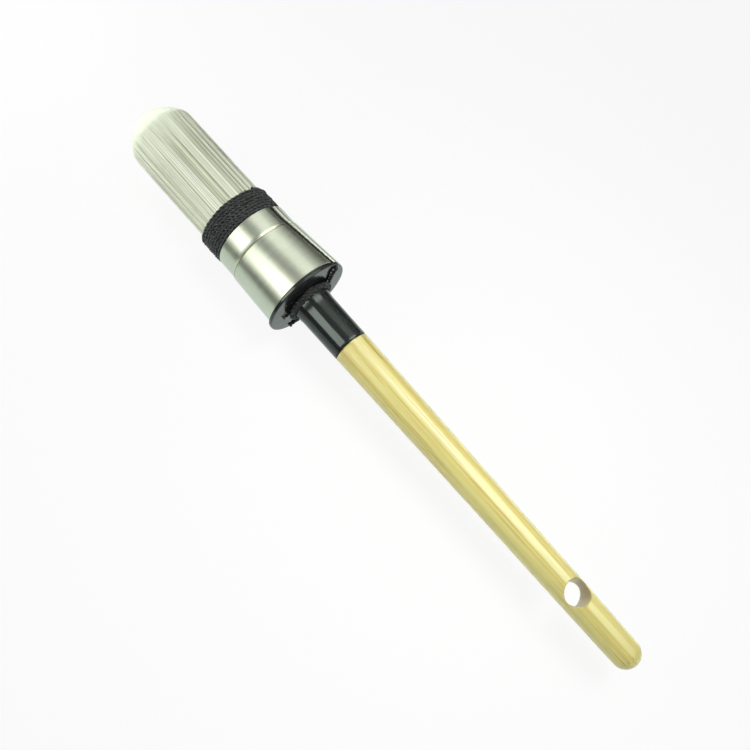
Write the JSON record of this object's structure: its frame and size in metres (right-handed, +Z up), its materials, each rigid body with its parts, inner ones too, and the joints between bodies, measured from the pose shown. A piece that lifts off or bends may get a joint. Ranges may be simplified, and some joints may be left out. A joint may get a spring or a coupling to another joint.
{
  "type": "round paint brush",
  "caption": "Round string-bound paint brush: domed filament pack, steel ferrule with a cord laid down its groove, black moulded neck and tapered wooden handle drilled for hanging.",
  "frame": {"origin": "Centre of the bounding box's bottom: below the brush's axis, half way between the filament tips and the end of the handle.", "axes": "+X runs along the brush from the filament tips to the end of the handle. +Z is up, and the hang hole runs along Z. The groove for the cord lies between +Z and +Y."},
  "size_m": [0.238, 0.0308, 0.0308],
  "materials": {
    "wood": "pale clear-varnished wood, satin",
    "black_plastic": "glossy black moulding",
    "steel": "satin stainless sheet, brushed round and round",
    "resin": "cured setting resin",
    "plug_wood": "plain wood, uncoated",
    "cord": "black two-ply cord",
    "filament": "pale synthetic filament, slightly glossy"
  },
  "bodies": {
    "root": {"handle": "wood", "head": "black_plastic", "ferrule": "steel", "setting": "resin", "plug": "plug_wood", "cord": "cord", "filaments_1": "filament", "filaments_2": "filament", "filaments_3": "filament", "filaments_4": "filament"}
  },
  "joints": []
}
